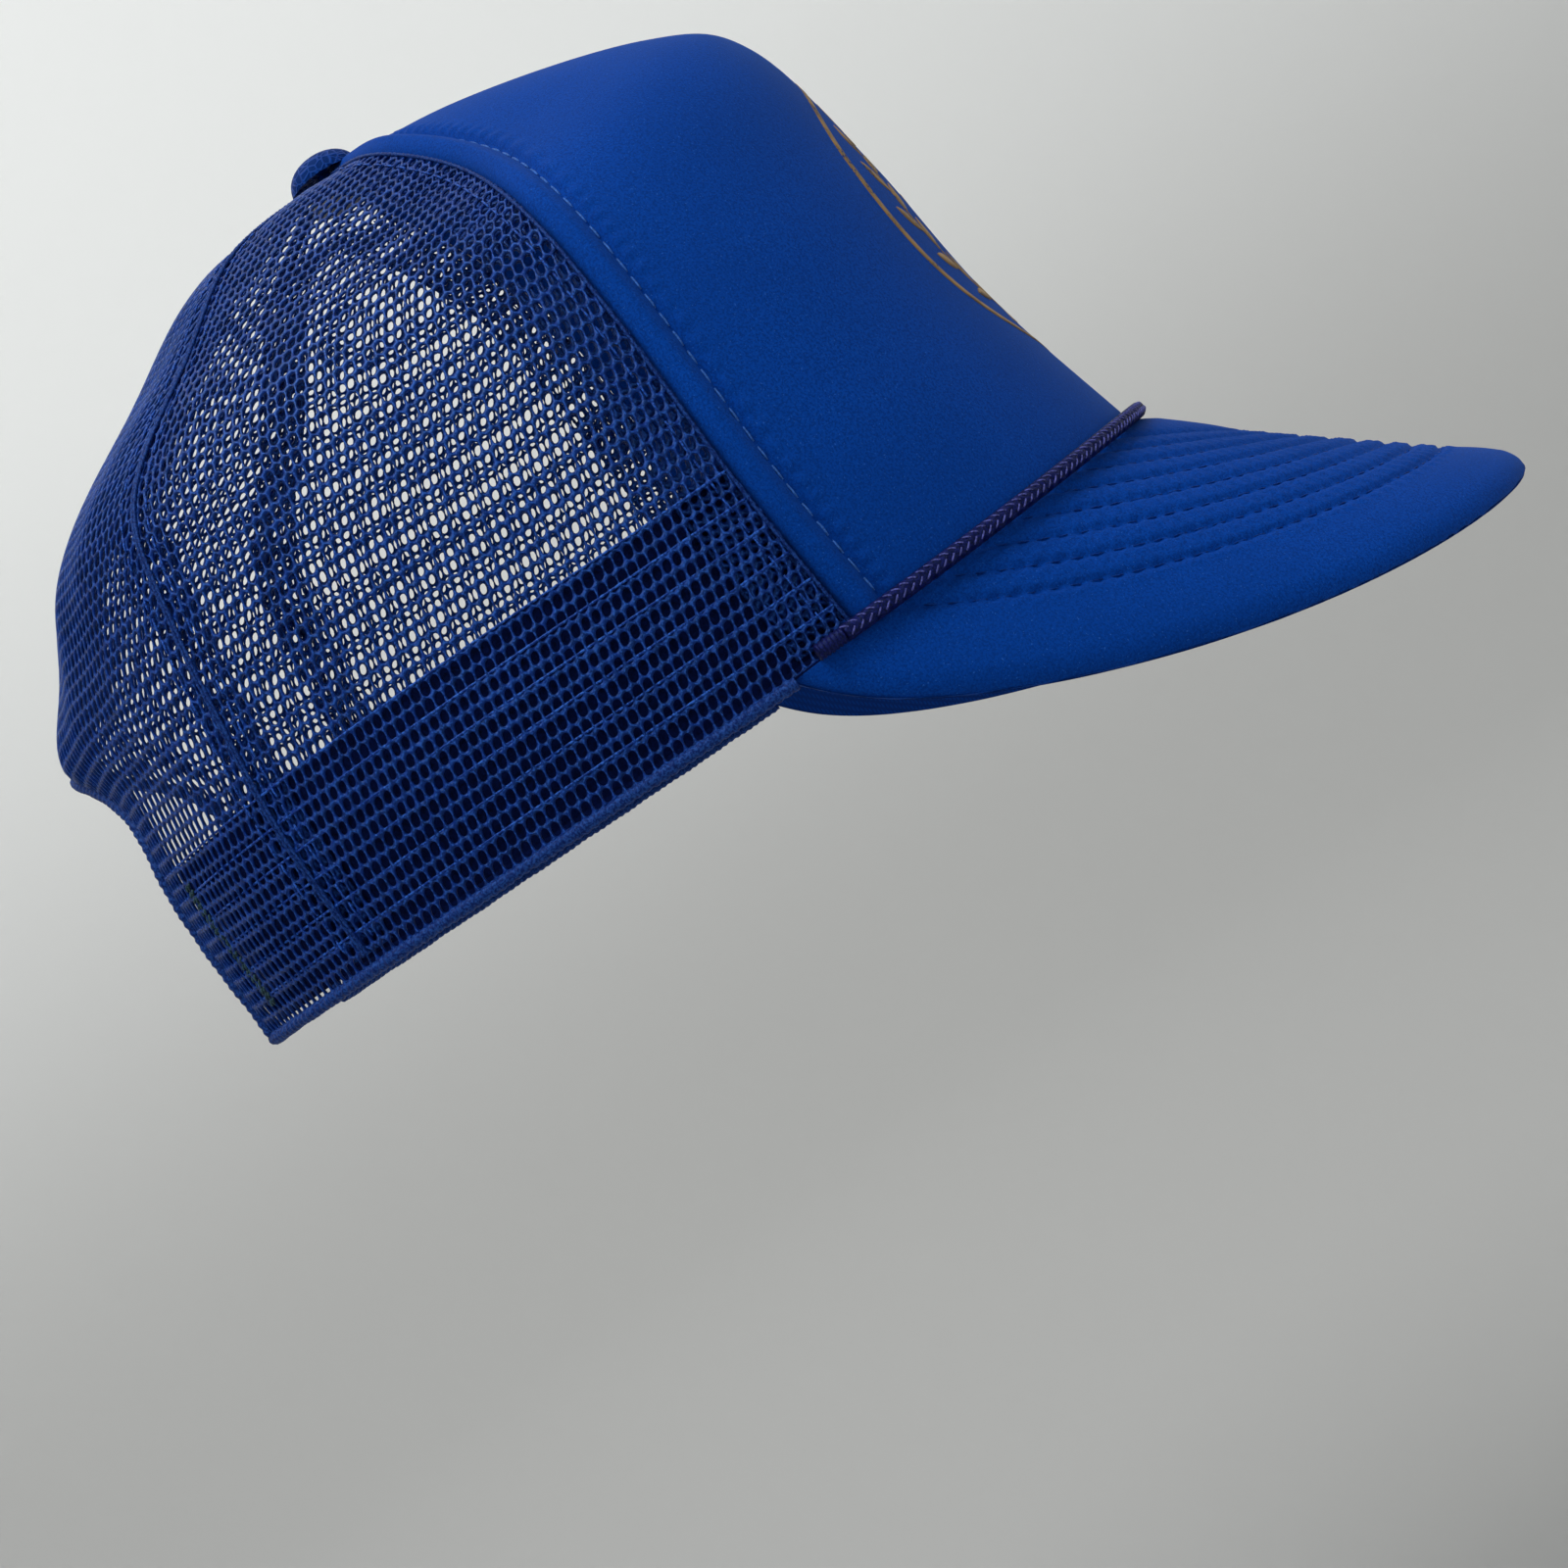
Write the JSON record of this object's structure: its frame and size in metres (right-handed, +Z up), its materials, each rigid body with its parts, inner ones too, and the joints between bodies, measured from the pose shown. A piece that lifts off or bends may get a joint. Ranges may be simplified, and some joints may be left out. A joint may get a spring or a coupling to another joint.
{
  "type": "trucker mesh cap",
  "caption": "Adjustable cap with a smooth foam front, open mesh sides and back, a curved stitched visor, a braided rope over the brim and a snap strap across the rear opening.",
  "frame": {"origin": "centre of the head opening, at the level of the hem on the cap's sides", "axes": "+Z up through the crown, -Y towards the visor, +X towards the wearer's left; the cap is symmetric about X = 0 apart from the two strap halves"},
  "size_m": [0.1658, 0.267, 0.1828],
  "materials": {
    "front_foam": "smooth brushed foam-backed knit, matt",
    "crown_mesh": "open knitted polyester mesh, slight sheen",
    "mesh_strip": "doubled knitted mesh strip",
    "sweatband": "brushed cotton twill, matt",
    "edge_binding": "overlocked thread edge",
    "visor_foam": "foam-backed knit with stitched rows, matt",
    "visor_board": "plain moulded sheet",
    "visor_lining": "woven lining cloth, matt",
    "brim_rope": "round braided cord",
    "rope_wrap": "wound sewing thread",
    "button_cover": "cloth drawn over a domed button",
    "button_metal": "pressed, satin",
    "strap_plastic": "moulded polyethylene, satin"
  },
  "bodies": {
    "cap": {"front_panel": "front_foam", "side_panel_right": "crown_mesh", "side_panel_left": "crown_mesh", "back_panel_right": "crown_mesh", "back_panel_left": "crown_mesh", "front_seam_strip_right": "mesh_strip", "front_seam_strip_left": "mesh_strip", "side_seam_strip_right": "mesh_strip", "side_seam_strip_left": "mesh_strip", "back_seam_strip": "mesh_strip", "sweatband": "sweatband", "hem_binding_right": "edge_binding", "hem_binding_left": "edge_binding", "arch_binding": "edge_binding", "visor_top_cover": "visor_foam", "visor_board": "visor_board", "visor_bottom_cover": "visor_lining", "brim_rope": "brim_rope", "rope_end_wrap_right": "rope_wrap", "rope_end_wrap_left": "rope_wrap", "top_button": "button_cover", "button_backing": "button_metal", "strap_tab_right": "strap_plastic", "strap_tab_left": "strap_plastic"},
    "hole_strap": {"strap_with_holes": "strap_plastic"},
    "peg_strap": {"strap_with_pegs": "strap_plastic"}
  },
  "joints": [
    {"name": "hole_strap_opens", "type": "hinge", "parent": "cap", "child": "hole_strap", "pos_m": [-0.0342, 0.0919, 0.014], "axis": [0, 0, 1], "range_deg": [0, 70]},
    {"name": "peg_strap_opens", "type": "hinge", "parent": "cap", "child": "peg_strap", "pos_m": [0.0342, 0.0903, 0.014], "axis": [0, 0, 1], "range_deg": [0, 40]}
  ]
}
